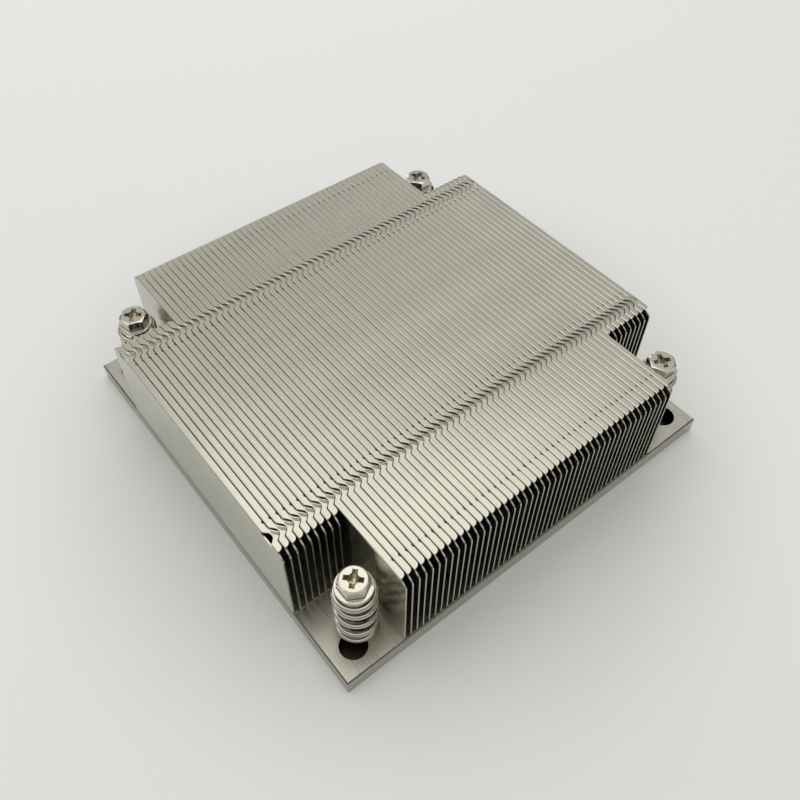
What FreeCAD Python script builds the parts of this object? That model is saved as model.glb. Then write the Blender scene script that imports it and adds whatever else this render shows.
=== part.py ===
import FreeCAD, Part
import Sketcher
import math
import os

# Driving dimensions: millimetres, apart from the counts, the turns and the angle where the wire starts
DIMENSIONS = {
    "plate_side": 96.4,
    "plate_thickness": 4.0,
    "plate_edge_break": 0.25,
    "screw_pitch": 80.0,
    "seat_diameter": 5.8,
    "seat_depth": 2.2,
    "tapped_diameter": 2.6,
    "tapped_length": 0.55,
    "relief_diameter": 3.4,
    "corner_hole_pitch": 86.1,
    "corner_hole_diameter": 5.5,
    "corner_hole_floor": 0.5,
    "long_fin_count": 47,
    "short_fin_count": 9,
    "fin_pitch": 1.46,
    "joint_gap": 0.12,
    "foot_width": 1.12,
    "sheet": 0.3,
    "fin_top": 25.6,
    "long_fin_length": 95.9,
    "short_fin_length": 62.4,
    "corner_cut": 1.25,
    "tongue_setback": 1.4,
    "tongue_slant": 0.9,
    "lock_row": 26.2,
    "lock_root": 3.45,
    "lock_tip": 1.0,
    "lock_depth": 1.15,
    "lock_gap": 0.1,
    "thread_diameter": 3.0,
    "neck_diameter": 2.4,
    "tip_height": 0.2,
    "stop_gap": 0.05,
    "flange_diameter": 7.2,
    "flange_thickness": 0.7,
    "hex_flats": 5.3,
    "hex_height": 2.4,
    "hex_edge_break": 0.3,
    "head_top": 22.0,
    "cross_span": 3.4,
    "cross_arm": 0.9,
    "cross_depth": 1.5,
    "spring_diameter": 8.4,
    "spring_foot_diameter": 5.5,
    "wire": 1.0,
    "active_turns": 3.75,
    "closed_foot_turns": 1,
    "closed_top_turns": 1,
    "taper_start": 0.3,
    "taper_turns": 0.65,
    "wire_start": 220.0,
    "coil_gap": 0.12,
}

# Facets that stand for one turn of the round spring wire's path
FACETS_PER_TURN = 8

# Corners of the plate: name, side along X, side along Y, turn of the screw in degrees
CORNERS = [
    ("front_left", -1, -1, 0.0),
    ("front_right", 1, -1, 25.0),
    ("back_left", -1, 1, 12.0),
    ("back_right", 1, 1, -20.0),
]


def make_sheet(doc):
    """Spreadsheet with one named cell for each driving dimension."""
    sheet = doc.addObject("Spreadsheet::Sheet", "Dims")
    for row, (alias, value) in enumerate(DIMENSIONS.items(), start=1):
        sheet.set(f"A{row}", alias)
        sheet.set(f"B{row}", str(value))
        sheet.setAlias(f"B{row}", alias)
    doc.recompute()
    return sheet


def new_body(doc, label):
    body = doc.addObject("PartDesign::Body", label)
    body.Label = label
    return body


def new_sketch(body, name, role, height=None):
    """Empty sketch on one of the body's origin planes, or at a height above it."""
    sketch = body.newObject("Sketcher::SketchObject", name)
    plane = [feature for feature in body.Origin.OriginFeatures if feature.Role == role][0]
    sketch.AttachmentSupport = [(plane, "")]
    sketch.MapMode = "FlatFace"
    if height:
        sketch.setExpression("AttachmentOffset.Base.z", height)
    return sketch


def pin_point(sketch, geometry, place, x, y):
    """Bind one point of a sketch to expressions for its two coordinates."""
    for kind, expression in (("DistanceX", x), ("DistanceY", y)):
        number = sketch.addConstraint(Sketcher.Constraint(kind, -1, 1, geometry, place, 1.0))
        sketch.setExpression(f"Constraints[{number}]", expression)


def add_outline(sketch, corners):
    """Closed outline of straight edges through corners given as expressions."""
    first = sketch.GeometryCount
    count = len(corners)
    start = [FreeCAD.Vector(math.cos(2 * math.pi * i / count), math.sin(2 * math.pi * i / count), 0)
             for i in range(count)]
    for i in range(count):
        sketch.addGeometry(Part.LineSegment(start[i], start[(i + 1) % count]), False)
    for i in range(count):
        after = first + (i + 1) % count
        sketch.addConstraint(Sketcher.Constraint("Coincident", first + i, 2, after, 1))
    for i, (x, y) in enumerate(corners):
        pin_point(sketch, first + i, 1, x, y)


def add_circle(sketch, x, y, diameter):
    """Circle whose centre and diameter are expressions."""
    axis = FreeCAD.Vector(0, 0, 1)
    geometry = sketch.addGeometry(Part.Circle(FreeCAD.Vector(1, 1, 0), axis, 1.0), False)
    pin_point(sketch, geometry, 3, x, y)
    number = sketch.addConstraint(Sketcher.Constraint("Diameter", geometry, 2.0))
    sketch.setExpression(f"Constraints[{number}]", diameter)


def add_feature(body, kind, name, sketch, length, symmetric=False, backward=False):
    """Pad or Pocket of a sketch, its length bound to an expression."""
    feature = body.newObject(f"PartDesign::{kind}", name)
    feature.Profile = sketch
    feature.setExpression("Length", length)
    feature.SideType = "Symmetric" if symmetric else "One side"
    feature.Reversed = backward
    sketch.Visibility = False
    return feature


def edges_at_height(shape, height):
    """Names of the straight edges that lie level at a height."""
    return [f"Edge{i}" for i, edge in enumerate(shape.Edges, start=1)
            if len(edge.Vertexes) == 2 and all(abs(v.Z - height) < 1e-6 for v in edge.Vertexes)]


def break_edges(body, name, base, height, width):
    """Small chamfer along the level edges of a feature's top face."""
    body.Document.recompute()
    chamfer = body.newObject("PartDesign::Chamfer", name)
    chamfer.Base = (base, edges_at_height(base.Shape, height))
    chamfer.setExpression("Size", width)


def make_base_plate(doc):
    """Square plate with a double hole in each corner.

    Under the screw, from above: spring seat, tapped web that keeps the screw captive, relief for
    its thread. The seat runs into a blind hole that lies further out towards the corner.
    """
    body = new_body(doc, "base_plate")
    outline = new_sketch(body, "plate_outline", "XY_Plane")
    half = "Dims.plate_side / 2"
    add_outline(outline, [(f"-{half}", f"-{half}"), (half, f"-{half}"), (half, half), (f"-{half}", half)])
    plate = add_feature(body, "Pad", "plate", outline, "Dims.plate_thickness")
    break_edges(body, "plate_edge", plate, DIMENSIONS["plate_thickness"], "Dims.plate_edge_break")
    cuts = [
        ("spring_seat", "screw", "Dims.plate_thickness", "Dims.seat_diameter", "Dims.seat_depth"),
        ("tapped_web", "screw", "Dims.plate_thickness", "Dims.tapped_diameter", "Dims.plate_thickness"),
        ("thread_relief", "screw", "Dims.plate_thickness - Dims.seat_depth - Dims.tapped_length",
         "Dims.relief_diameter", "Dims.plate_thickness"),
        ("corner_hole", "corner_hole", "Dims.plate_thickness", "Dims.corner_hole_diameter",
         "Dims.plate_thickness - Dims.corner_hole_floor"),
    ]
    for name, pattern, top, diameter, depth in cuts:
        circles = new_sketch(body, f"{name}_circles", "XY_Plane", top)
        half = f"Dims.{pattern}_pitch / 2"
        for _, side_x, side_y, _ in CORNERS:
            add_circle(circles, f"{side_x} * {half}", f"{side_y} * {half}", diameter)
        add_feature(body, "Pocket", name, circles, depth)
    return body


def both_ends(outline):
    """An outline near the +Y end of a fin, and its mirror image near the -Y end."""
    mirrored = [(x, f"-({y})") for x, y in reversed(outline)]
    return [outline, mirrored]


def make_fin(doc, label, length, with_tabs=True):
    """Folded sheet fin: wall, foot and top flange, cut and lanced as the blank is stamped.

    The wall's outer face is at X = 0 and the flanges reach towards +X.
    """
    body = new_body(doc, label)
    flange = "(Dims.fin_pitch - Dims.joint_gap)"
    toe = "Dims.foot_width"
    foot = "Dims.plate_thickness"
    top = "Dims.fin_top"
    end = f"({length} / 2)"
    section = new_sketch(body, f"{label}_section", "XZ_Plane")
    add_outline(section, [
        ("0", foot), (toe, foot), (toe, f"{foot} + Dims.sheet"), ("Dims.sheet", f"{foot} + Dims.sheet"),
        ("Dims.sheet", f"{top} - Dims.sheet"), (flange, f"{top} - Dims.sheet"), (flange, top), ("0", top),
    ])
    add_feature(body, "Pad", f"{label}_fold", section, length, symmetric=True)

    # Top flange stops short of the wall's ends in a slanted tongue
    tongues = new_sketch(body, f"{label}_tongue_cuts", "XY_Plane", top)
    tip = f"{end} - Dims.tongue_setback"
    for outline in both_ends([
        ("Dims.sheet", tip), (flange, f"{tip} - Dims.tongue_slant"), ("Dims.fin_pitch", f"{tip} - Dims.tongue_slant"),
        ("Dims.fin_pitch", f"{end} + Dims.sheet"), ("Dims.sheet", f"{end} + Dims.sheet"),
    ]):
        add_outline(tongues, outline)
    add_feature(body, "Pocket", f"{label}_tongues", tongues, "Dims.sheet")

    # Upper corners of the wall are cut off
    corners = new_sketch(body, f"{label}_corner_cuts", "YZ_Plane")
    for side in (1, -1):
        add_outline(corners, [
            (f"{side} * ({end} - Dims.corner_cut)", top), (f"{side} * {end}", f"{top} - Dims.corner_cut"),
            (f"{side} * {end}", top),
        ])
    add_feature(body, "Pocket", f"{label}_corners", corners, "2 * Dims.fin_pitch", symmetric=True)

    # Windows through the top fold take the tabs of the fin before
    windows = new_sketch(body, f"{label}_windows", "XY_Plane", top)
    for outline in both_ends([
        ("-Dims.sheet", "Dims.lock_row - Dims.lock_root / 2"), ("0", "Dims.lock_row - Dims.lock_root / 2"),
        ("Dims.lock_depth", "Dims.lock_row - Dims.lock_tip / 2"),
        ("Dims.lock_depth", "Dims.lock_row + Dims.lock_tip / 2"),
        ("0", "Dims.lock_row + Dims.lock_root / 2"), ("-Dims.sheet", "Dims.lock_row + Dims.lock_root / 2"),
    ]):
        add_outline(windows, outline)
    add_feature(body, "Pocket", f"{label}_lock_windows", windows, "Dims.sheet")

    # Tabs on the free edge lock into the windows of the next fin
    if with_tabs:
        tabs = new_sketch(body, f"{label}_tabs", "XY_Plane", top)
        reach = "(Dims.fin_pitch + Dims.lock_depth - Dims.lock_gap)"
        root = "(Dims.lock_root / 2 - Dims.lock_gap)"
        point = "(Dims.lock_tip / 2 - Dims.lock_gap)"
        for outline in both_ends([
            (flange, f"Dims.lock_row - {root}"), (reach, f"Dims.lock_row - {point}"),
            (reach, f"Dims.lock_row + {point}"), (flange, f"Dims.lock_row + {root}"),
        ]):
            add_outline(tabs, outline)
        add_feature(body, "Pad", f"{label}_lock_tabs", tabs, "Dims.sheet", backward=True)
    return body


def repeat_fin(doc, source, label):
    """Another fin stamped and folded as the source fin."""
    body = new_body(doc, label)
    stamped = body.newObject("PartDesign::FeatureBase", f"{label}_stamped")
    stamped.BaseFeature = source
    body.Tip = stamped
    return body


def place_fin(body, index):
    """Stand a fin in its place, counted from the plate's left edge."""
    body.setExpression("Placement.Base.x", f"{index} * Dims.fin_pitch - Dims.plate_side / 2")


def make_fin_stack(doc):
    """Row of fins across the plate: short ones, long ones, short ones."""
    short_count = DIMENSIONS["short_fin_count"]
    long_count = DIMENSIONS["long_fin_count"]
    short_fin = make_fin(doc, "short_fin_01", "Dims.short_fin_length")
    long_fin = make_fin(doc, "long_fin_01", "Dims.long_fin_length")
    fins = []
    for number in range(1, long_count + 1):
        fin = long_fin if number == 1 else repeat_fin(doc, long_fin, f"long_fin_{number:02d}")
        place_fin(fin, short_count + number - 1)
        fins.append(fin)
    groups = {"short_fins_left": [], "short_fins_right": []}
    last = 2 * short_count
    for number in range(1, last + 1):
        label = f"short_fin_{number:02d}"
        if number == 1:
            fin = short_fin
        elif number == last:
            fin = make_fin(doc, label, "Dims.short_fin_length", with_tabs=False)
        else:
            fin = repeat_fin(doc, short_fin, label)
        on_left = number <= short_count
        place_fin(fin, number - 1 if on_left else number - 1 + long_count)
        groups["short_fins_left" if on_left else "short_fins_right"].append(fin)
    for label, members in groups.items():
        group = doc.addObject("Part::Compound", label)
        group.Label = label
        group.Links = members
        fins.append(group)
    return fins


def make_screw(doc, name, side_x, side_y, turn):
    """Captive screw: threaded end, waisted neck, flanged hexagon head with a cross recess."""
    body = new_body(doc, f"screw_{name}")
    flange_top = "Dims.head_top - Dims.hex_height"
    flange_foot = "Dims.head_top - Dims.hex_height - Dims.flange_thickness"
    thread_top = "Dims.plate_thickness - Dims.seat_depth - Dims.tapped_length - Dims.stop_gap"
    profile = new_sketch(body, f"{name}_profile", "XZ_Plane")
    add_outline(profile, [
        ("0", "Dims.tip_height"), ("Dims.thread_diameter / 2", "Dims.tip_height"),
        ("Dims.thread_diameter / 2", thread_top), ("Dims.neck_diameter / 2", thread_top),
        ("Dims.neck_diameter / 2", flange_foot), ("Dims.flange_diameter / 2", flange_foot),
        ("Dims.flange_diameter / 2", flange_top), ("0", flange_top),
    ])
    turned = body.newObject("PartDesign::Revolution", f"{name}_turned")
    turned.Profile = profile
    turned.ReferenceAxis = (profile, ["V_Axis"])
    turned.Angle = 360.0

    # Hexagon with one corner towards the front
    hexagon = new_sketch(body, f"{name}_hexagon", "XY_Plane", flange_top)
    corner = "Dims.hex_flats / sqrt(3)"
    flat = "Dims.hex_flats / 2"
    add_outline(hexagon, [
        ("0", f"-{corner}"), (flat, f"-{corner} / 2"), (flat, f"{corner} / 2"),
        ("0", corner), (f"-{flat}", f"{corner} / 2"), (f"-{flat}", f"-{corner} / 2"),
    ])
    head = add_feature(body, "Pad", f"{name}_head", hexagon, "Dims.hex_height")
    break_edges(body, f"{name}_head_edge", head, DIMENSIONS["head_top"], "Dims.hex_edge_break")

    # Cross recess, its arms along the diagonals
    cross = new_sketch(body, f"{name}_cross", "XY_Plane", "Dims.head_top")
    far = "((Dims.cross_span + Dims.cross_arm) / sqrt(8))"
    near = "((Dims.cross_span - Dims.cross_arm) / sqrt(8))"
    notch = "(Dims.cross_arm / sqrt(2))"
    add_outline(cross, [
        (far, near), (near, far), ("0", notch), (f"-{near}", far), (f"-{far}", near), (f"-{notch}", "0"),
        (f"-{far}", f"-{near}"), (f"-{near}", f"-{far}"), ("0", f"-{notch}"), (near, f"-{far}"), (far, f"-{near}"),
        (notch, "0"),
    ])
    add_feature(body, "Pocket", f"{name}_recess", cross, "Dims.cross_depth")
    body.Placement.Rotation = FreeCAD.Rotation(FreeCAD.Vector(0, 0, 1), turn)
    body.setExpression("Placement.Base.x", f"{side_x} * Dims.screw_pitch / 2")
    body.setExpression("Placement.Base.y", f"{side_y} * Dims.screw_pitch / 2")
    return body


def spring_path(sheet, turns):
    """Radius and height of the wire's centre after a number of turns from the seat."""
    seat = sheet.plate_thickness - sheet.seat_depth
    head = sheet.head_top - sheet.hex_height - sheet.flange_thickness
    low = seat + sheet.wire / 2
    high = head - sheet.wire / 2
    closed = sheet.wire + sheet.coil_gap
    foot_height = low + closed * sheet.closed_foot_turns
    active = (high - closed * sheet.closed_top_turns - foot_height) / sheet.active_turns
    open_turns = min(max(turns - sheet.closed_foot_turns, 0), sheet.active_turns)
    height = low + closed * (turns - open_turns) + active * open_turns
    foot_radius = (sheet.spring_foot_diameter - sheet.wire) / 2
    body_radius = (sheet.spring_diameter - sheet.wire) / 2
    share = min(max((open_turns - sheet.taper_start) / sheet.taper_turns, 0), 1)
    return foot_radius + (body_radius - foot_radius) * share, height


def flat_faces(ring, following):
    """Triangles that join each side of one wire section to the next section."""
    faces = []
    for i in range(len(ring)):
        j = (i + 1) % len(ring)
        for corners in ((ring[i], ring[j], following[j]), (ring[i], following[j], following[i])):
            faces.append(Part.Face(Part.makePolygon([*corners, corners[0]])))
    return faces


def make_spring(doc, sheet, name, side_x, side_y):
    """Compression spring, wound left-handed with closed ends, its foot drawn in to fit the seat."""
    half = sheet.wire / 2
    square = ((-half, -half), (half, -half), (half, half), (-half, half))
    rings = []
    all_turns = sheet.closed_foot_turns + sheet.active_turns + sheet.closed_top_turns
    for step in range(int(all_turns * FACETS_PER_TURN) + 1):
        turns = step / FACETS_PER_TURN
        radius, height = spring_path(sheet, turns)
        angle = math.radians(sheet.wire_start) - 2 * math.pi * turns
        rings.append([
            FreeCAD.Vector((radius + out) * math.cos(angle), (radius + out) * math.sin(angle), height + up)
            for out, up in square
        ])
    faces = [Part.Face(Part.makePolygon([*end, end[0]])) for end in (rings[0], rings[-1])]
    for ring, following in zip(rings, rings[1:]):
        faces += flat_faces(ring, following)
    wire_skin = Part.makeShell(faces)
    wire_skin.sewShape()
    spring = doc.addObject("Part::Feature", f"spring_{name}")
    spring.Label = f"spring_{name}"
    spring.Shape = Part.makeSolid(wire_skin)
    spring.setExpression("Placement.Base.x", f"{side_x} * Dims.screw_pitch / 2")
    spring.setExpression("Placement.Base.y", f"{side_y} * Dims.screw_pitch / 2")
    return spring


def check(doc, nodes):
    """Stop before anything is written if an object failed or a shape is unsound."""
    for thing in doc.Objects:
        if "Invalid" in thing.State or "Error" in thing.State:
            raise RuntimeError(f"{thing.Label} failed: {thing.State}")
    for node in nodes:
        if node.Shape.isNull() or not node.Shape.isValid():
            raise RuntimeError(f"{node.Label} has no sound shape")


def main():
    doc = FreeCAD.newDocument("heat_sink")
    sheet = make_sheet(doc)
    nodes = [make_base_plate(doc)]
    nodes += make_fin_stack(doc)
    for name, side_x, side_y, turn in CORNERS:
        nodes.append(make_screw(doc, name, side_x, side_y, turn))
        nodes.append(make_spring(doc, sheet, name, side_x, side_y))
    doc.recompute()
    check(doc, nodes)
    os.makedirs("parts", exist_ok=True)
    for node in nodes:
        node.Shape.exportStep(os.path.join("parts", f"{node.Label}.step"))
        solids = len(node.Shape.Solids)
        print(f"{node.Label}: {solids} solids, {node.Shape.Volume:.1f} mm3")


main()
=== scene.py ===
import math
import random
from functools import partial

import bpy
import numpy as np
from mathutils import Euler, Matrix, Vector
from mathutils.geometry import delaunay_2d_cdt


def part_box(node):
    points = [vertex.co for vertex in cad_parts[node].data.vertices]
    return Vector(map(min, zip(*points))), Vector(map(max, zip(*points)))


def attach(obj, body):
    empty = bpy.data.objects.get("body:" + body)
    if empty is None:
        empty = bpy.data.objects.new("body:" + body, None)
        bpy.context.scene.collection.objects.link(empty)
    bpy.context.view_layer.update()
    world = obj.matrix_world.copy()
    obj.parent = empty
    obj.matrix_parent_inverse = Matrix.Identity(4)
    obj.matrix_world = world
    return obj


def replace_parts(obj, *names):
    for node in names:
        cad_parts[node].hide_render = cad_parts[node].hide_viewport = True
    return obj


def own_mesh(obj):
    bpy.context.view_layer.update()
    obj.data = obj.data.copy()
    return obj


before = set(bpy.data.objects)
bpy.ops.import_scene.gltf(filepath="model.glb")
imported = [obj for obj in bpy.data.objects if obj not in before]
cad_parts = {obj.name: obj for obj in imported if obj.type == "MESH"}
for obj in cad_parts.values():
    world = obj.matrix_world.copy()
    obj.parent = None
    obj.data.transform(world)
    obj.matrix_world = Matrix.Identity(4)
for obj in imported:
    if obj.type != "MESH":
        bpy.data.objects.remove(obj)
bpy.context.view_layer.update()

# Lengths are in millimetres where no other unit is named, and this turns them into the scene's metres
MM = 0.001

CORNERS = ("front_left", "front_right", "back_left", "back_right")

# Camera: where it stands, how it is turned in degrees, its lens and sensor, and its near and far limits
CAMERA_PLACE = (-75.44, -95.26, 150.85)
CAMERA_AZIMUTH = -39.24
CAMERA_ELEVATION = 50.99
CAMERA_ROLL = 0.75
CAMERA_LENS = 37.45
CAMERA_SENSOR = 36.0
CAMERA_NEAR = 5.0
CAMERA_FAR = 20000.0

# Folded fins: sheet, bends, pitch and widths, and how many stand in each short group
SHEET = 0.3
BEND = 0.32
BEND_STEPS = 6
FIN_PITCH = 1.46
FIN_WIDTH = 1.3
FOOT_WIDTH = 1.12
SHORT_FINS = 9

# Ends of a fin: the cut corner of its wall, and the rounded tongue of its top flange
CORNER_DROP = 1.1
CORNER_RUN = 1.25
CORNER_ROUNDING = 0.8
TONGUE_SETBACK = 1.5
TONGUE_RADIUS = 0.88
ARC_STEPS = 8
ROUNDING_POINTS = 5

# Lean of the long fins in degrees, at most, and the seed that shares it out
FIN_LEAN = 0.10
LEAN_SEED = 7

# Interlock of the fins' top edges
LOCK_ROW = 26.2
LOCK_ROOT = 3.45
LOCK_TIP = 1.0
LOCK_DEPTH = 1.15
LOCK_GAP = 0.1
LOCK_SKEW = 0.15
LOCK_ROUNDING = 0.45
LOCK_GRID = 0.1
LOCK_RELIEF = 0.5

# Pressing of a lock tab: distance from its back edge along the row, and depth there
# The back lip is sunk, a crest follows, and then a dish that rises to the front
PRESS_PROFILE = ((0.0, 0.5), (0.15, 0.17), (0.7, 0.0), (0.95, 0.3), (1.65, 0.0))
# Distance from the flange's free edge where the pressing starts, and the run to its full depth
PRESS_START = -0.05
PRESS_RUN = 0.45
# Step over which the slope of the pressing is measured
SLOPE_STEP = 0.01

# Nicks in the free edge of the top flange
NICK_ROWS = (42.8, 23.2)
NICK_LENGTH = 0.75
NICK_DEPTH = 0.2
NICK_FLOOR_SHARE = 0.5

# How far the fold lines run past a blank's ends, the distance at which points become one,
# and the least size that a direction is divided by
LINE_MARGIN = 1.0
MERGE_DISTANCE = 1e-6
SHORTEST = 1e-12

# Spring wire: its turns are counted from WIRE_START, and its angles are in degrees
WIRE_RADIUS = 0.58
SPRING_RADIUS = 3.62
SPRING_FOOT_RADIUS = 2.28
WIRE_START = 178.0
WIRE_SHARP_ANGLE = 60.0
WIRE_SIDES = 14
STEPS_PER_TURN = 40
# Its path: turns, radius, and share of the way from the seat to the screw's flange
WIRE_PATH = (
    (0.5, SPRING_FOOT_RADIUS, 0.0),
    (2.3, SPRING_FOOT_RADIUS, 0.141),
    (2.7, SPRING_RADIUS, 0.141),
    (2.9, SPRING_RADIUS, 0.142),
    (3.84, SPRING_RADIUS, 0.309),
    (5.84, SPRING_RADIUS, 0.767),
    (6.6, SPRING_RADIUS, 0.93),
    (7.6, SPRING_RADIUS, 1.0),
)
# Turns to either side over which the path is smoothed, and samples in that stretch
PATH_SMOOTHING = 0.06
SMOOTHING_SAMPLES = 7
# Turns up to which the wire rests on the plate and doesn't move with the screw, and the gap above them
DEAD_TURNS = 3.0
DEAD_GAP = 0.001

# Captive screw, whose angles are in degrees
HEX_FLATS = 5.3
HEX_HEIGHT = 2.4
HEX_CHAMFER = 30.0
HEX_TOP_RADIUS = 2.52
TOP_EDGE_WIDTH = 0.06
TOP_EDGE_HEIGHT = 0.03
FLANGE_RIM = 0.64
FLANGE_EDGE = 0.08
GROOVE_WIDTH = 0.12
GROOVE_DEPTH = 0.14
NECK_RADIUS = 1.2
NECK_TAPER = 0.15
SCREW_SHARP_ANGLE = 28.0
TURN_STEPS = 72
# How far each screw happens to be turned
SCREW_TURNS = {"front_left": 0.0, "front_right": 25.0, "back_left": 12.0, "back_right": -20.0}

# Thread of the screw: its top lies this far under the spring's seat
THREAD_SINK = 0.65
THREAD_RADIUS = 1.5
THREAD_PITCH = 0.5
THREAD_DEPTH = 0.28
TIP_RADIUS = 0.01
# Rows of points for each turn of the thread, and rows over which it fades out at both ends
THREAD_ROWS = 8
THREAD_FADE = 4

# Cross recess of the screw, with its turn in degrees
CROSS_SPAN = 3.7
CROSS_ARM = 1.05
CROSS_WAIST = 0.3
CROSS_DEPTH = 1.5
CROSS_TURN = 42.0
# Levels of the recess from its rim down: share of the span, and share of the depth
CROSS_LEVELS = ((1.0, 0.0), (0.97, 0.04), (0.72, 0.6), (0.4, 0.92), (0.12, 1.0))
# Share of the arms' width that doesn't shrink with the span
CROSS_ARM_LEFT = 0.35

# Corner holes of the plate, whose insides get painted shade: distance of the centre from both middle
# lines, and radius
SHADE_PAINTED_HOLES = ((40.0, 2.96), (43.05, 2.81))
HOLE_RIM = 0.03
# Colour of the painted shade, in the holes and on the broken top edges
PAINTED_SHADE_COLOUR = (0.07, 0.066, 0.055, 1.0)
# Painted shade on the plate's broken top edges
EDGE_WIDTH = 0.27
EDGE_SHADE = 0.48

# Grain of the finishes: how it is drawn out, its detail, the values of noise between which it changes,
# the scale of the clouds in its colour, and the height of its relief
EVEN = (1.0, 1.0, 1.0)
ALONG_Y = (1.0, 0.02, 1.0)
ALONG_Z = (1.0, 1.0, 0.2)
GRAIN_DETAIL = 4.0
NOISE_LOW = 0.3
NOISE_HIGH = 0.7
CLOUD_SCALE = 90.0
RELIEF_HEIGHT = 0.02

# Floor: half its side in metres, and its finish
FLOOR_HALF = 3.0
FLOOR_ROUGHNESS = 0.7
FLOOR_SHEEN = 0.2
FLOOR_CLOUD_SCALE = 3.0
FLOOR_DARK = (0.89, 0.895, 0.875)
FLOOR_LIGHT = (0.91, 0.915, 0.895)
# Painted light on the floor away from the part, as the camera sees it, which leaves a painted shadow round
# the part: distances from its middle, and added level
PAINTED_LIGHT_START = 58.0
PAINTED_LIGHT_END = 92.0
PAINTED_LIGHT_LEVEL = 0.078
PAINTED_LIGHT_COLOUR = (0.98, 1.0, 0.98, 1.0)

# Light of the surround: sine of the height above the horizon, and level there
SKY_LEVELS = ((0.0, 0.1), (0.2, 0.18), (0.45, 0.38), (0.6, 0.51), (0.75, 0.66), (1.0, 0.76))
SKY_TINT = (0.99, 1.0, 0.98)
BACKDROP_COLOUR = (0.80, 0.81, 0.79, 1.0)


def in_mm(corners):
    """A corner of a box, or both corners, in millimetres."""
    return np.array(corners) / MM


# Materials


def start_material(name):
    material = bpy.data.materials.new(name)
    material.use_nodes = True
    tree = material.node_tree
    return material, tree, tree.nodes["Principled BSDF"]


def add_grain(tree, stretch, scale):
    """Noise drawn out along one direction, in the piece's own coordinates."""
    place = tree.nodes.new("ShaderNodeTexCoord")
    mapping = tree.nodes.new("ShaderNodeMapping")
    mapping.inputs["Scale"].default_value = stretch
    noise = tree.nodes.new("ShaderNodeTexNoise")
    noise.inputs["Scale"].default_value = scale
    noise.inputs["Detail"].default_value = GRAIN_DETAIL
    tree.links.new(place.outputs["Object"], mapping.inputs["Vector"])
    tree.links.new(mapping.outputs["Vector"], noise.inputs["Vector"])
    return noise


def add_range(tree, source, low, high):
    """A noise value spread between two limits."""
    spread = tree.nodes.new("ShaderNodeMapRange")
    spread.inputs["From Min"].default_value = NOISE_LOW
    spread.inputs["From Max"].default_value = NOISE_HIGH
    spread.inputs["To Min"].default_value = low
    spread.inputs["To Max"].default_value = high
    tree.links.new(source.outputs["Fac"], spread.inputs["Value"])
    return spread


def add_colour_range(tree, source, dark, light):
    """A noise value as a mix of two colours."""
    ramp = tree.nodes.new("ShaderNodeValToRGB")
    first, last = ramp.color_ramp.elements
    first.position = NOISE_LOW
    first.color = (*dark, 1.0)
    last.position = NOISE_HIGH
    last.color = (*light, 1.0)
    tree.links.new(source.outputs["Fac"], ramp.inputs["Fac"])
    return ramp


def add_math(tree, operation, first, second):
    """Arithmetic node between a socket and either a number or another socket."""
    node = tree.nodes.new("ShaderNodeMath")
    node.operation = operation
    tree.links.new(first, node.inputs[0])
    if isinstance(second, float):
        node.inputs[1].default_value = second
    else:
        tree.links.new(second, node.inputs[1])
    return node.outputs[0]


def plated_metal(name, dark, light, smooth, rough, stretch, scale, bump, brushed=False):
    """Nickel plating with a drawn-out grain in its roughness and relief, and in its colour if brushed."""
    material, tree, shader = start_material(name)
    shader.inputs["Metallic"].default_value = 1.0
    grain = add_grain(tree, stretch, scale)
    cloud = add_grain(tree, EVEN, CLOUD_SCALE)
    colour = add_colour_range(tree, grain if brushed else cloud, dark, light)
    tree.links.new(colour.outputs["Color"], shader.inputs["Base Color"])
    roughness = add_range(tree, grain, smooth, rough)
    tree.links.new(roughness.outputs["Result"], shader.inputs["Roughness"])
    relief = tree.nodes.new("ShaderNodeBump")
    relief.inputs["Strength"].default_value = bump
    relief.inputs["Distance"].default_value = RELIEF_HEIGHT * MM
    tree.links.new(grain.outputs["Fac"], relief.inputs["Height"])
    tree.links.new(relief.outputs["Normal"], shader.inputs["Normal"])
    return material


def fin_metal():
    return plated_metal("satin_nickel", dark=(0.57, 0.555, 0.475), light=(0.63, 0.615, 0.525),
                        smooth=0.18, rough=0.26, stretch=ALONG_Y, scale=2500.0, bump=0.15)


def plate_metal():
    material = plated_metal("brushed_nickel", dark=(0.42, 0.405, 0.35), light=(0.57, 0.55, 0.48),
                            smooth=0.24, rough=0.42, stretch=ALONG_Y, scale=5500.0, bump=0.6, brushed=True)
    half, _, top = in_mm(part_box("base_plate")[1])
    # Painted shade in the corner holes and on the broken top edges
    paint_plate_shade(material.node_tree, half, top)
    return material


def screw_metal():
    return plated_metal("bright_nickel", dark=(0.61, 0.59, 0.52), light=(0.67, 0.65, 0.58),
                        smooth=0.12, rough=0.2, stretch=EVEN, scale=900.0, bump=0.08)


def recess_metal():
    # Darker, warmer metal in the cross recess
    return plated_metal("darker_warmer_recess", dark=(0.44, 0.39, 0.27), light=(0.54, 0.49, 0.37),
                        smooth=0.18, rough=0.3, stretch=EVEN, scale=1500.0, bump=0.12)


def wire_metal():
    return plated_metal("spring_wire", dark=(0.6, 0.55, 0.48), light=(0.68, 0.63, 0.56),
                        smooth=0.08, rough=0.15, stretch=ALONG_Z, scale=1500.0, bump=0.1)


def mask_hole_shade(tree, x, y, z, top):
    """Mask of the places inside the plate's corner holes, where shade is painted."""
    inside_any = None
    for centre, radius in SHADE_PAINTED_HOLES:
        offsets = [add_math(tree, "SUBTRACT", axis, centre * MM) for axis in (x, y)]
        squares = [add_math(tree, "MULTIPLY", offset, offset) for offset in offsets]
        spread = add_math(tree, "ADD", *squares)
        hit = add_math(tree, "LESS_THAN", spread, (radius * MM) ** 2)
        inside_any = hit if inside_any is None else add_math(tree, "MAXIMUM", inside_any, hit)
    below = add_math(tree, "LESS_THAN", z, (top - HOLE_RIM) * MM)
    return add_math(tree, "MULTIPLY", inside_any, below)


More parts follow.
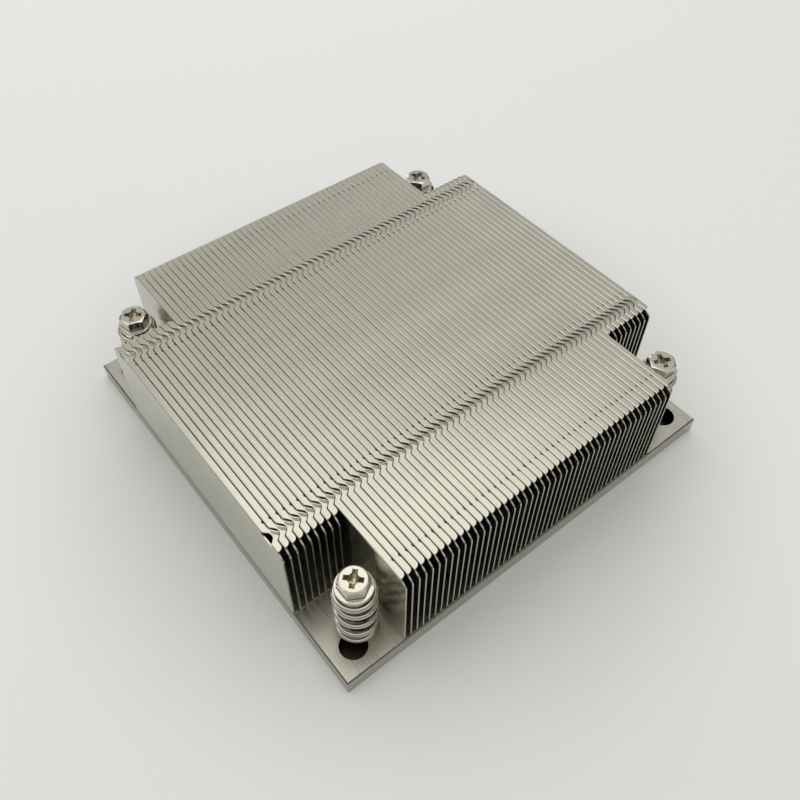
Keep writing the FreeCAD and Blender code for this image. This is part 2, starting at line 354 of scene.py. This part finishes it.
def mask_edge_shade(tree, x, y, z, half, top):
    """Partial mask of the painted shade on the plate's broken top edges."""
    outermost = add_math(tree, "MAXIMUM", x, y)
    at_side = add_math(tree, "GREATER_THAN", outermost, (half - EDGE_WIDTH) * MM)
    at_top = add_math(tree, "GREATER_THAN", z, (top - EDGE_WIDTH) * MM)
    shaded_edge = add_math(tree, "MULTIPLY", at_side, at_top)
    return add_math(tree, "MULTIPLY", shaded_edge, EDGE_SHADE)


def paint_plate_shade(tree, half, top):
    """Painted shade inside the plate's corner holes, and painted shade on its broken top edges."""
    shader = tree.nodes["Principled BSDF"]
    place = tree.nodes.new("ShaderNodeTexCoord")
    fold_in = tree.nodes.new("ShaderNodeVectorMath")
    fold_in.operation = "ABSOLUTE"
    tree.links.new(place.outputs["Object"], fold_in.inputs[0])
    parts = tree.nodes.new("ShaderNodeSeparateXYZ")
    tree.links.new(fold_in.outputs[0], parts.inputs[0])
    x, y, z = (parts.outputs[axis] for axis in "XYZ")
    hole_shade = mask_hole_shade(tree, x, y, z, top)
    shaded_edge = mask_edge_shade(tree, x, y, z, half, top)
    # Where the painted shade goes, in the holes and on the edges
    mask = add_math(tree, "MAXIMUM", hole_shade, shaded_edge)
    colour = shader.inputs["Base Color"].links[0].from_socket
    blend = tree.nodes.new("ShaderNodeMix")
    blend.data_type = "RGBA"
    tree.links.new(mask, blend.inputs["Factor"])
    tree.links.new(colour, blend.inputs["A"])
    blend.inputs["B"].default_value = PAINTED_SHADE_COLOUR
    tree.links.new(blend.outputs["Result"], shader.inputs["Base Color"])


def add_painted_floor_light(tree, shader):
    """Painted light: the floor glows to the camera away from the part, which leaves a painted shadow round
    it.
    """
    place = tree.nodes.new("ShaderNodeTexCoord")
    away = tree.nodes.new("ShaderNodeVectorMath")
    away.operation = "LENGTH"
    tree.links.new(place.outputs["Object"], away.inputs[0])
    painted_light = tree.nodes.new("ShaderNodeMapRange")
    painted_light.interpolation_type = "SMOOTHSTEP"
    painted_light.inputs["From Min"].default_value = PAINTED_LIGHT_START * MM
    painted_light.inputs["From Max"].default_value = PAINTED_LIGHT_END * MM
    painted_light.inputs["To Max"].default_value = PAINTED_LIGHT_LEVEL
    tree.links.new(away.outputs["Value"], painted_light.inputs["Value"])
    seen = tree.nodes.new("ShaderNodeLightPath")
    strength = add_math(tree, "MULTIPLY", painted_light.outputs["Result"], seen.outputs["Is Camera Ray"])
    tree.links.new(strength, shader.inputs["Emission Strength"])
    shader.inputs["Emission Color"].default_value = PAINTED_LIGHT_COLOUR


def floor_material():
    """Pale matte board with a barely visible tone in it, and painted light away from the part that leaves
    a painted shadow round it.
    """
    material, tree, shader = start_material("pale_floor")
    shader.inputs["Roughness"].default_value = FLOOR_ROUGHNESS
    shader.inputs["Specular IOR Level"].default_value = FLOOR_SHEEN
    cloud = add_grain(tree, EVEN, FLOOR_CLOUD_SCALE)
    colour = add_colour_range(tree, cloud, FLOOR_DARK, FLOOR_LIGHT)
    tree.links.new(colour.outputs["Color"], shader.inputs["Base Color"])
    add_painted_floor_light(tree, shader)
    return material


# Meshes


def add_object(name, data):
    """Object in the scene for a mesh, a lamp or a camera."""
    holder = bpy.data.objects.new(name, data)
    bpy.context.scene.collection.objects.link(holder)
    return holder


def new_piece(name, points, faces, material, normals=None):
    """Mesh object from points in millimetres, with a normal for each face corner if given."""
    mesh = bpy.data.meshes.new(name)
    places = [tuple(point) for point in np.asarray(points) * MM]
    mesh.from_pydata(places, [], [tuple(face) for face in faces])
    mesh.polygons.foreach_set("use_smooth", [True] * len(mesh.polygons))
    mesh.update()
    if normals is not None:
        mesh.normals_split_custom_set([tuple(normal) for normal in normals])
    mesh.materials.append(material)
    return add_object(name, mesh)


def inside(points, loop):
    """Which points lie inside a closed loop, by counting the edges to their right."""
    hit = np.zeros(len(points), bool)
    for (ax, ay), (bx, by) in zip(loop, np.roll(loop, -1, axis=0)):
        if ay == by:
            continue
        spans = (points[:, 1] > ay) != (points[:, 1] > by)
        cross = ax + (points[:, 1] - ay) * (bx - ax) / (by - ay)
        hit ^= spans & (points[:, 0] < cross)
    return hit


def triangulate(outer, holes=(), lines=(), extra=()):
    """Triangles that fill a flat outline with holes, split along lines and at extra points."""
    points = []
    edges = []
    for loop in (outer, *holes):
        first = len(points)
        points += [tuple(point) for point in loop]
        edges += [(first + i, first + (i + 1) % len(loop)) for i in range(len(loop))]
    for start, end in lines:
        edges.append((len(points), len(points) + 1))
        points += [tuple(start), tuple(end)]
    points += [tuple(point) for point in extra]
    result = delaunay_2d_cdt([Vector(point) for point in points], edges, [], 0, MERGE_DISTANCE)
    flat = np.array([tuple(point) for point in result[0]])
    triangles = np.array(result[2])
    centres = flat[triangles].mean(axis=1)
    keep = inside(centres, np.array(outer))
    for hole in holes:
        keep &= ~inside(centres, np.array(hole))
    used, triangles = np.unique(triangles[keep], return_inverse=True)
    return flat[used], triangles.reshape(-1, 3)


def face_up(flat, triangles):
    """Triangles turned so that their corners run anticlockwise in the flat."""
    ab = flat[triangles[:, 1]] - flat[triangles[:, 0]]
    ac = flat[triangles[:, 2]] - flat[triangles[:, 0]]
    flip = ab[:, 0] * ac[:, 1] - ab[:, 1] * ac[:, 0] < 0
    triangles[flip] = triangles[flip][:, ::-1]
    return triangles


def open_edges(triangles):
    """Directed edges that belong to one triangle only."""
    edges = {}
    for a, b, c in triangles:
        for edge in ((a, b), (b, c), (c, a)):
            edges[edge] = True
    return [(a, b) for a, b in edges if (b, a) not in edges]


def wrap_rings(count, size):
    """Faces between rings of points that follow each other."""
    faces = []
    for row in range(count - 1):
        for step in range(size):
            a = row * size + step
            b = row * size + (step + 1) % size
            faces.append((a, b, b + size, a + size))
    return faces


def smooth_step(share):
    """Share from 0 to 1 with a soft start and end."""
    share = np.clip(share, 0, 1)
    return share * share * (3 - 2 * share)


def curve_point(start, middle, end, t):
    """Point of a curve that leaves its start and reaches its end towards the middle."""
    return (1 - t) ** 2 * start + 2 * t * (1 - t) * middle + t ** 2 * end


def arc(centre, radius, start, end):
    """Points along a flat arc, its angles in degrees."""
    angles = np.radians(np.linspace(start, end, ARC_STEPS + 1))
    return [(centre[0] + radius * math.cos(a), centre[1] + radius * math.sin(a)) for a in angles]


def round_corners(corners, radius, keep_sharp=()):
    """Path whose corners between its ends are rounded by small curves, apart from those kept sharp."""
    path = []
    last = len(corners) - 1
    for i, corner in enumerate(corners):
        here = np.array(corner)
        if i in (0, last) or i in keep_sharp:
            path.append(tuple(here))
            continue
        before = np.array(corners[i - 1]) - here
        after = np.array(corners[i + 1]) - here
        reach = min(radius, np.linalg.norm(before) / 2, np.linalg.norm(after) / 2)
        start = here + before / np.linalg.norm(before) * reach
        end = here + after / np.linalg.norm(after) * reach
        path += [tuple(curve_point(start, here, end, t)) for t in np.linspace(0, 1, ROUNDING_POINTS)]
    return path


# Folded fins


class Fold:
    """Path of a fin's outer face, from the free edge of its foot to that of its top flange."""

    def __init__(self, foot, top):
        self.foot = foot
        self.top = top
        self.quarter = math.pi / 2 * BEND
        self.low_bend = FOOT_WIDTH - BEND
        self.wall = self.low_bend + self.quarter
        self.high_bend = self.wall + top - foot - 2 * BEND
        self.flange = self.high_bend + self.quarter
        self.edge = self.flange + FIN_WIDTH - BEND

    def trace(self, s):
        """X and Z of the outer face and of its outward normal at distances along the path."""
        low = np.clip((s - self.low_bend) / BEND, 0, math.pi / 2)
        high = np.clip((s - self.high_bend) / BEND, 0, math.pi / 2)
        x = np.where(s < self.low_bend, FOOT_WIDTH - s, BEND - BEND * np.sin(low))
        x = np.where(s > self.high_bend, BEND - BEND * np.cos(high), x)
        x = np.where(s > self.flange, BEND + s - self.flange, x)
        z = self.foot + BEND - BEND * np.cos(low)
        z = np.where(s > self.wall, self.foot + BEND + s - self.wall, z)
        z = np.where(s > self.high_bend, self.top - BEND + BEND * np.sin(high), z)
        turn = low + high
        return x, z, -np.sin(turn), -np.cos(turn)


def tab_path(fold, row):
    """Outline of a lock tab on the flange's free edge, from its back end to its front end."""
    reach = fold.edge + FIN_PITCH - FIN_WIDTH + LOCK_DEPTH - LOCK_GAP
    root = LOCK_ROOT / 2 - LOCK_GAP
    tip = LOCK_TIP / 2 - LOCK_GAP
    corners = [
        (fold.edge, row + root),
        (reach, row + tip - LOCK_SKEW),
        (reach, row - tip - LOCK_SKEW),
        (fold.edge, row - root),
    ]
    return round_corners(corners, LOCK_ROUNDING)


def window_path(fold, row):
    """Outline of a lock window, which runs over the top bend."""
    low = fold.high_bend + BEND * math.asin((BEND - SHEET) / BEND) - LOCK_RELIEF
    deep = fold.flange + LOCK_DEPTH - BEND
    root = LOCK_ROOT / 2
    tip = LOCK_TIP / 2
    corners = [
        (low, row - root),
        (fold.flange - BEND, row - root),
        (deep, row - tip - LOCK_SKEW),
        (deep, row + tip - LOCK_SKEW),
        (fold.flange - BEND, row + root),
        (low, row + root),
    ]
    return round_corners(corners, LOCK_ROUNDING, keep_sharp=(1, 4))


def nick_path(fold, row):
    """Small nick in the flange's free edge, from its back end to its front end."""
    half = NICK_LENGTH / 2
    floor = half * NICK_FLOOR_SHARE
    deep = fold.edge - NICK_DEPTH
    return [(fold.edge, row + half), (deep, row + floor), (deep, row - floor), (fold.edge, row - half)]


def end_path(fold, half_length):
    """Back end of the blank, from the foot's edge up the wall and round the flange's tongue."""
    corner = fold.high_bend + BEND - CORNER_DROP
    tip = half_length - TONGUE_SETBACK
    slope = [
        (0.0, half_length),
        (corner, half_length),
        (corner + CORNER_DROP - BEND, half_length - CORNER_RUN),
        (fold.flange - BEND / 2, tip),
    ]
    tongue = arc((fold.edge - TONGUE_RADIUS, tip - TONGUE_RADIUS), TONGUE_RADIUS, 90, 0)
    return round_corners(slope, CORNER_ROUNDING) + tongue


def blank_outline(fold, half_length, with_tabs):
    """Outline of the flat blank: distance along the fold, and length along the fin."""
    back_end = end_path(fold, half_length)
    tip = half_length - TONGUE_SETBACK - TONGUE_RADIUS
    rows = []
    for nick in NICK_ROWS:
        if nick < tip - NICK_LENGTH:
            rows += [(nick, nick_path), (-nick, nick_path)]
    if with_tabs:
        rows += [(LOCK_ROW, tab_path), (-LOCK_ROW, tab_path)]
    free_edge = []
    for row, path in sorted(rows, key=lambda item: -item[0]):
        free_edge += path(fold, row)
    front_end = [(s, -y) for s, y in reversed(back_end)]
    return back_end + free_edge + front_end


def lock_grid(fold, outline):
    """Points spread over the lock tabs, where the sheet is pressed."""
    reach = fold.edge + LOCK_DEPTH
    s, v = np.meshgrid(np.arange(fold.edge - LOCK_GRID, reach, LOCK_GRID),
                       np.arange(-LOCK_ROOT / 2, LOCK_ROOT / 2, LOCK_GRID))
    spots = np.column_stack([s.ravel(), v.ravel()])
    spots = np.concatenate([spots + (0, LOCK_ROW), spots - (0, LOCK_ROW)])
    return spots[inside(spots, np.array(outline))]


def press(fold, s, y):
    """How far the sheet is pressed down at a lock tab."""
    v = np.where(y > 0, y - LOCK_ROW, y + LOCK_ROW)
    out = s - fold.edge
    taper = np.clip(out / (FIN_PITCH - FIN_WIDTH + LOCK_DEPTH - LOCK_GAP), 0, 1)
    back_edge = LOCK_ROOT / 2 - LOCK_GAP + ((LOCK_TIP - LOCK_ROOT) / 2 - LOCK_SKEW) * taper
    distances, depths = np.array(PRESS_PROFILE).T
    drop = np.interp(back_edge - v, distances, depths) * smooth_step((out - PRESS_START) / PRESS_RUN)
    return np.where(np.abs(v) < LOCK_ROOT / 2, drop, 0.0)


def press_slope(fold, s, y):
    """Slopes of the pressing along the fold and along the fin."""
    along_fold = press(fold, s + SLOPE_STEP, y) - press(fold, s - SLOPE_STEP, y)
    along_fin = press(fold, s, y + SLOPE_STEP) - press(fold, s, y - SLOPE_STEP)
    return along_fold / (2 * SLOPE_STEP), along_fin / (2 * SLOPE_STEP)


def cut_blank(fold, half_length, with_tabs):
    """Points and triangles of a fin's flat blank, split along its bends."""
    outline = blank_outline(fold, half_length, with_tabs)
    windows = [window_path(fold, row) for row in (LOCK_ROW, -LOCK_ROW)]
    steps = np.linspace(0, fold.quarter, BEND_STEPS + 1)
    end = half_length + LINE_MARGIN
    lines = [((bend + step, -end), (bend + step, end))
             for bend in (fold.low_bend, fold.high_bend) for step in steps]
    extra = lock_grid(fold, outline) if with_tabs else []
    flat, triangles = triangulate(outline, windows, lines, extra)
    return flat, face_up(flat, triangles)


def fold_mesh(foot, top, half_length, with_tabs=True):
    """Points, faces and corner normals of a fin: a cut blank, folded and given its thickness."""
    fold = Fold(foot, top)
    flat, triangles = cut_blank(fold, half_length, with_tabs)
    count = len(flat)

    # Outer and inner face of the sheet
    s, y = flat.T
    x, z, nx, nz = fold.trace(s)
    slope_s, slope_y = press_slope(fold, s, y)
    normal = np.column_stack([nx + slope_s, slope_y, nz])
    normal /= np.linalg.norm(normal, axis=1)[:, None]
    outer = np.column_stack([x, y, z - press(fold, s, y)])
    inner = outer - SHEET * np.column_stack([nx, np.zeros_like(nx), nz])
    faces = [tuple(t) for t in triangles]
    normals = [normal[i] for t in triangles for i in t]
    faces += [tuple(t[::-1] + count) for t in triangles]
    normals += [-normal[i] for t in triangles for i in t[::-1]]

    # Cut edges all round the blank and its windows
    for a, b in open_edges(triangles):
        faces.append((a, a + count, b + count, b))
        across = np.cross(inner[a] - outer[a], outer[b] - outer[a])
        across /= max(np.linalg.norm(across), SHORTEST)
        normals += [across] * 4
    return np.concatenate([outer, inner]), faces, normals


def stand_fin(piece, x, foot, wobble):
    """Stand a fin in its place, leaning by the little that the real ones do."""
    lean = Euler((0, math.radians(wobble.uniform(0, FIN_LEAN)), 0)).to_matrix().to_4x4()
    pivot = Matrix.Translation((0, 0, foot * MM))
    piece.matrix_world = Matrix.Translation((x * MM, 0, 0)) @ pivot @ lean @ pivot.inverted()


def make_long_fins(material):
    """Every long fin as a folded, cut and pressed sheet in the place of its solid."""
    low, high = in_mm(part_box("long_fin_01"))
    foot, top = low[2], high[2]
    points, faces, normals = fold_mesh(foot, top, (high[1] - low[1]) / 2)
    wobble = random.Random(LEAN_SEED)
    shared = None
    for name in sorted(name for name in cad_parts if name.startswith("long_fin_")):
        if shared is None:
            piece = new_piece(f"{name}_sheet", points, faces, material, normals)
            shared = piece.data
        else:
            piece = add_object(f"{name}_sheet", shared)
        stand_fin(piece, in_mm(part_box(name)[0])[0], foot, wobble)
        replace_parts(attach(piece, "heat_sink"), name)


def join_fins(name, meshes, start, material):
    """Several fins in a row as one piece."""
    points, faces, normals = [], [], []
    count = 0
    for i, (more_points, more_faces, more_normals) in enumerate(meshes):
        points.append(more_points + (start + i * FIN_PITCH, 0, 0))
        faces += [tuple(int(corner) + count for corner in face) for face in more_faces]
        normals += list(more_normals)
        count += len(more_points)
    return new_piece(name, np.concatenate(points), faces, material, normals)


def make_short_fins(material):
    """Both groups of short fins. The last fin at the right has no neighbour, and so no tabs."""
    foot, top = in_mm(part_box("long_fin_01"))[:, 2]
    left_low, left_high = in_mm(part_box("short_fins_left"))
    right_low = in_mm(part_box("short_fins_right")[0])
    half_length = (left_high[1] - left_low[1]) / 2
    short_mesh = fold_mesh(foot, top, half_length)
    end_mesh = fold_mesh(foot, top, half_length, with_tabs=False)
    for group, start in (("short_fins_left", left_low[0]), ("short_fins_right", right_low[0])):
        meshes = [short_mesh] * SHORT_FINS
        if group == "short_fins_right":
            meshes[-1] = end_mesh
        piece = join_fins(f"{group}_sheets", meshes, start, material)
        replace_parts(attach(piece, "heat_sink"), group)


# Springs


def spring_path(turns, seat, head):
    """Radius and height of the wire's centre at a number of turns."""
    knots, radii, shares = np.array(WIRE_PATH).T
    nearby = np.linspace(-PATH_SMOOTHING, PATH_SMOOTHING, SMOOTHING_SAMPLES)
    radius = np.mean([np.interp(turns + shift, knots, radii) for shift in nearby], axis=0)
    share = np.mean([np.interp(turns + shift, knots, shares) for shift in nearby], axis=0)
    low = seat + WIRE_RADIUS
    high = head - WIRE_RADIUS
    return radius, low + (high - low) * share


def wind_wire(name, centre, first, last, ends, material):
    """Round wire between two numbers of turns, wound left-handed, with closed ends."""
    turns = np.linspace(first, last, int((last - first) * STEPS_PER_TURN) + 1)
    radius, height = spring_path(turns, *ends)
    angle = math.radians(WIRE_START) - 2 * math.pi * turns
    points = []
    for r, z, a in zip(radius, height, angle):
        for side in range(WIRE_SIDES):
            b = 2 * math.pi * side / WIRE_SIDES
            out = r + WIRE_RADIUS * math.cos(b)
            x = centre[0] + out * math.cos(a)
            y = centre[1] + out * math.sin(a)
            points.append((x, y, z + WIRE_RADIUS * math.sin(b)))
    faces = wrap_rings(len(turns), WIRE_SIDES)
    faces.append(tuple(reversed(range(WIRE_SIDES))))
    faces.append(tuple(range(len(points) - WIRE_SIDES, len(points))))
    piece = new_piece(name, points, faces, material)
    piece.data.set_sharp_from_angle(angle=math.radians(WIRE_SHARP_ANGLE))
    return piece


def make_spring(name, material):
    """Spring with dead coils that rest on the plate, and live coils that the screw presses together."""
    node = f"spring_{name}"
    low, high = in_mm(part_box(node))
    x, y = sum(in_mm(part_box(f"screw_{name}")))[:2] / 2
    ends = (low[2], high[2])
    dead = wind_wire(f"{node}_foot", (x, y), WIRE_PATH[0][0], DEAD_TURNS, ends, material)
    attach(dead, "heat_sink")
    live = wind_wire(f"{node}_wire", (x, y), DEAD_TURNS + DEAD_GAP, WIRE_PATH[-1][0], ends, material)
    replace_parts(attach(live, f"slider_{name}"), node)
    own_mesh(live)


# Screws


def hex_radius(angle):
    """Distance from the axis to a hexagon's side, with a corner towards the front."""
    return HEX_FLATS / 2 / math.cos(((angle + math.pi / 6) % (math.pi / 3)) - math.pi / 6)


def groove_radius(angle):
    """Distance from the axis to the groove round the hexagon's foot."""
    return hex_radius(angle) + GROOVE_WIDTH


def chamfer_height(angle, top):
    """Height at which the hexagon's side meets the chamfer under its top."""
    return top - (hex_radius(angle) - HEX_TOP_RADIUS) * math.tan(math.radians(HEX_CHAMFER))


def thread_radius(angle, z, fade):
    """Radius of the thread, whose ridge climbs with the angle and is lower where it fades out."""
    phase = (z / THREAD_PITCH - angle / (2 * math.pi)) % 1.0
    return THREAD_RADIUS - THREAD_DEPTH * (1 - fade * (1 - abs(2 * phase - 1)))


def ring(radius, height):
    """Points round the axis, their radius and height given as numbers or as functions of the angle."""
    points = []
    for step in range(TURN_STEPS):
        angle = 2 * math.pi * step / TURN_STEPS + math.pi / 6
        r = radius(angle) if callable(radius) else radius
        z = height(angle) if callable(height) else height
        points.append((r * math.cos(angle), r * math.sin(angle), z))
    return points


def thread_rings(tip, thread_top):
    """Rings of points up the thread."""
    rows = int((thread_top - tip) / THREAD_PITCH * THREAD_ROWS)
    rings = []
    for row in range(rows + 1):
        z = tip + (thread_top - tip) * row / rows
        fade = min(row / THREAD_FADE, (rows - row) / THREAD_FADE, 1.0)
        rings.append(ring(partial(thread_radius, z=z, fade=fade), z))
    return rings


def screw_rings(tip, thread_top, flange_foot, top):
    """Rings of points from the screw's tip up to the rim of its top face."""
    flange_top = top - HEX_HEIGHT
    low, high = in_mm(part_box("screw_front_left"))
    rim = (high[0] - low[0]) / 2
    return [
        ring(TIP_RADIUS, tip),
        ring(THREAD_RADIUS - THREAD_DEPTH, tip),
        *thread_rings(tip, thread_top),
        ring(NECK_RADIUS, thread_top + NECK_TAPER),
        ring(NECK_RADIUS, flange_foot),
        ring(rim - FLANGE_EDGE, flange_foot),
        ring(rim, flange_foot + FLANGE_EDGE),
        ring(rim, flange_foot + FLANGE_RIM - FLANGE_EDGE),
        ring(rim - FLANGE_EDGE, flange_foot + FLANGE_RIM),
        ring(groove_radius, flange_top),
        ring(hex_radius, flange_top - GROOVE_DEPTH),
        ring(hex_radius, partial(chamfer_height, top=top)),
        ring(HEX_TOP_RADIUS, top - TOP_EDGE_HEIGHT),
        ring(HEX_TOP_RADIUS - TOP_EDGE_WIDTH, top),
    ]


def cross_loop(span, arm, height):
    """Outline of the cross recess at one depth: four arms, with rounded lobes between them."""
    points = []
    for quarter in range(4):
        a = math.radians(CROSS_TURN) + quarter * math.pi / 2
        along = np.array((math.cos(a), math.sin(a)))
        across = np.array((-along[1], along[0]))
        start = along * span / 2 + across * arm / 2
        end = across * span / 2 + along * arm / 2
        middle = (along + across) * CROSS_WAIST * span / CROSS_SPAN
        points += [(*curve_point(start, middle, end, t), height) for t in np.linspace(0, 1, ARC_STEPS + 1)]
    return points


def cross_loops(top):
    """Outlines of the cross recess from its rim down, narrower with depth."""
    loops = []
    for share, depth in CROSS_LEVELS:
        arm = CROSS_ARM * (CROSS_ARM_LEFT + (1 - CROSS_ARM_LEFT) * share)
        loops.append(cross_loop(CROSS_SPAN * share, arm, top - CROSS_DEPTH * depth))
    return loops


def make_screw(name, metal, dark_metal):
    """Captive screw: thread, neck, flanged hexagon head and cross recess."""
    node = f"screw_{name}"
    low, high = in_mm(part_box(node))
    seat, flange_foot = in_mm(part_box(f"spring_{name}"))[:, 2]
    top = high[2]
    rings = screw_rings(low[2], seat - THREAD_SINK, flange_foot, top)
    points = [point for loop in rings for point in loop]
    faces = wrap_rings(len(rings), TURN_STEPS)
    faces.append(tuple(reversed(range(TURN_STEPS))))

    # Top face round the recess
    loops = cross_loops(top)
    flat, triangles = triangulate([p[:2] for p in rings[-1]], [[p[:2] for p in loops[0]]])
    faces += [tuple(int(i) + len(points) for i in t) for t in face_up(flat, triangles)]
    points += [(px, py, top) for px, py in flat]
    shiny = len(faces)

    # Walls and floor of the recess
    for above, below in zip(loops, loops[1:]):
        base = len(points)
        size = len(above)
        points += above + below
        for i in range(size):
            j = (i + 1) % size
            faces.append((base + j, base + i, base + size + i, base + size + j))
    faces.append(tuple(range(len(points), len(points) + len(loops[-1]))))
    points += loops[-1]

    spin = np.array(Matrix.Rotation(math.radians(SCREW_TURNS[name]), 3, "Z"))
    x, y = (low[:2] + high[:2]) / 2
    placed = np.array(points) @ spin.T + (x, y, 0)
    piece = new_piece(f"{node}_turned", placed, faces, metal)
    piece.data.materials.append(dark_metal)
    for polygon in list(piece.data.polygons)[shiny:]:
        polygon.material_index = 1
    piece.data.set_sharp_from_angle(angle=math.radians(SCREW_SHARP_ANGLE))
    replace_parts(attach(piece, node), node)


# Stage


def make_floor():
    mesh = bpy.data.meshes.new("floor")
    corners = [(-FLOOR_HALF, -FLOOR_HALF, 0), (FLOOR_HALF, -FLOOR_HALF, 0),
               (FLOOR_HALF, FLOOR_HALF, 0), (-FLOOR_HALF, FLOOR_HALF, 0)]
    mesh.from_pydata(corners, [], [(0, 1, 2, 3)])
    mesh.materials.append(floor_material())
    floor = add_object("floor", mesh)


def make_sky():
    """Surround that is pale above and dim at the horizon, with an even backdrop for the camera."""
    world = bpy.data.worlds.new("studio")
    bpy.context.scene.world = world
    world.use_nodes = True
    nodes, links = world.node_tree.nodes, world.node_tree.links
    direction = nodes.new("ShaderNodeTexCoord")
    parts = nodes.new("ShaderNodeSeparateXYZ")
    links.new(direction.outputs["Generated"], parts.inputs[0])
    sky = nodes.new("ShaderNodeValToRGB")
    for position, _ in SKY_LEVELS[1:-1]:
        sky.color_ramp.elements.new(position)
    for element, (position, level) in zip(sky.color_ramp.elements, SKY_LEVELS):
        element.position = position
        element.color = tuple(level * tint for tint in SKY_TINT) + (1.0,)
    links.new(parts.outputs["Z"], sky.inputs["Fac"])
    seen = nodes.new("ShaderNodeLightPath")
    blend = nodes.new("ShaderNodeMix")
    blend.data_type = "RGBA"
    links.new(seen.outputs["Is Camera Ray"], blend.inputs["Factor"])
    links.new(sky.outputs["Color"], blend.inputs["A"])
    blend.inputs["B"].default_value = BACKDROP_COLOUR
    links.new(blend.outputs["Result"], nodes["Background"].inputs["Color"])


def add_lamp(name, place, size, power, colour):
    """Broad lamp that points at the part, its place and size in metres."""
    lamp = bpy.data.lights.new(name, "AREA")
    lamp.shape = "RECTANGLE"
    lamp.size, lamp.size_y = size
    lamp.energy = power
    lamp.color = colour
    holder = add_object(name, lamp)
    holder.location = place
    holder.rotation_euler = (-Vector(place)).to_track_quat("-Z", "Y").to_euler()


def make_lamps():
    add_lamp("overhead", place=(0.15, 0.18, 0.97), size=(0.75, 0.75), power=1.25, colour=(1.0, 0.97, 0.91))
    add_lamp("back_low", place=(0.42, 0.88, 0.34), size=(1.3, 0.28), power=2.3, colour=(1.0, 0.98, 0.95))
    add_lamp("back_left", place=(-0.55, 0.45, 0.7), size=(0.6, 0.6), power=0.5, colour=(0.98, 0.99, 1.0))


def make_camera():
    camera = bpy.data.cameras.new("camera")
    camera.lens = CAMERA_LENS
    camera.sensor_width = CAMERA_SENSOR
    camera.clip_start = CAMERA_NEAR * MM
    camera.clip_end = CAMERA_FAR * MM
    azimuth = math.radians(CAMERA_AZIMUTH)
    elevation = math.radians(CAMERA_ELEVATION)
    level = math.cos(elevation)
    back = Vector((math.sin(azimuth) * level, -math.cos(azimuth) * level, math.sin(elevation)))
    aim = (-back).to_track_quat("-Z", "Y").to_matrix().to_4x4()
    roll = Matrix.Rotation(math.radians(CAMERA_ROLL), 4, "Z")
    holder = add_object("camera", camera)
    holder.matrix_world = Matrix.Translation(Vector(CAMERA_PLACE) * MM) @ aim @ roll
    bpy.context.scene.camera = holder


def main():
    sheet = fin_metal()
    brushed = plate_metal()
    bright = screw_metal()
    recess_tone = recess_metal()
    wire = wire_metal()
    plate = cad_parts["base_plate"]
    plate.data.materials.clear()
    plate.data.materials.append(brushed)
    make_long_fins(sheet)
    make_short_fins(sheet)
    for name in CORNERS:
        make_spring(name, wire)
        make_screw(name, bright, recess_tone)
    make_floor()
    make_sky()
    make_lamps()
    make_camera()
    bpy.context.scene.view_settings.view_transform = "Standard"


main()
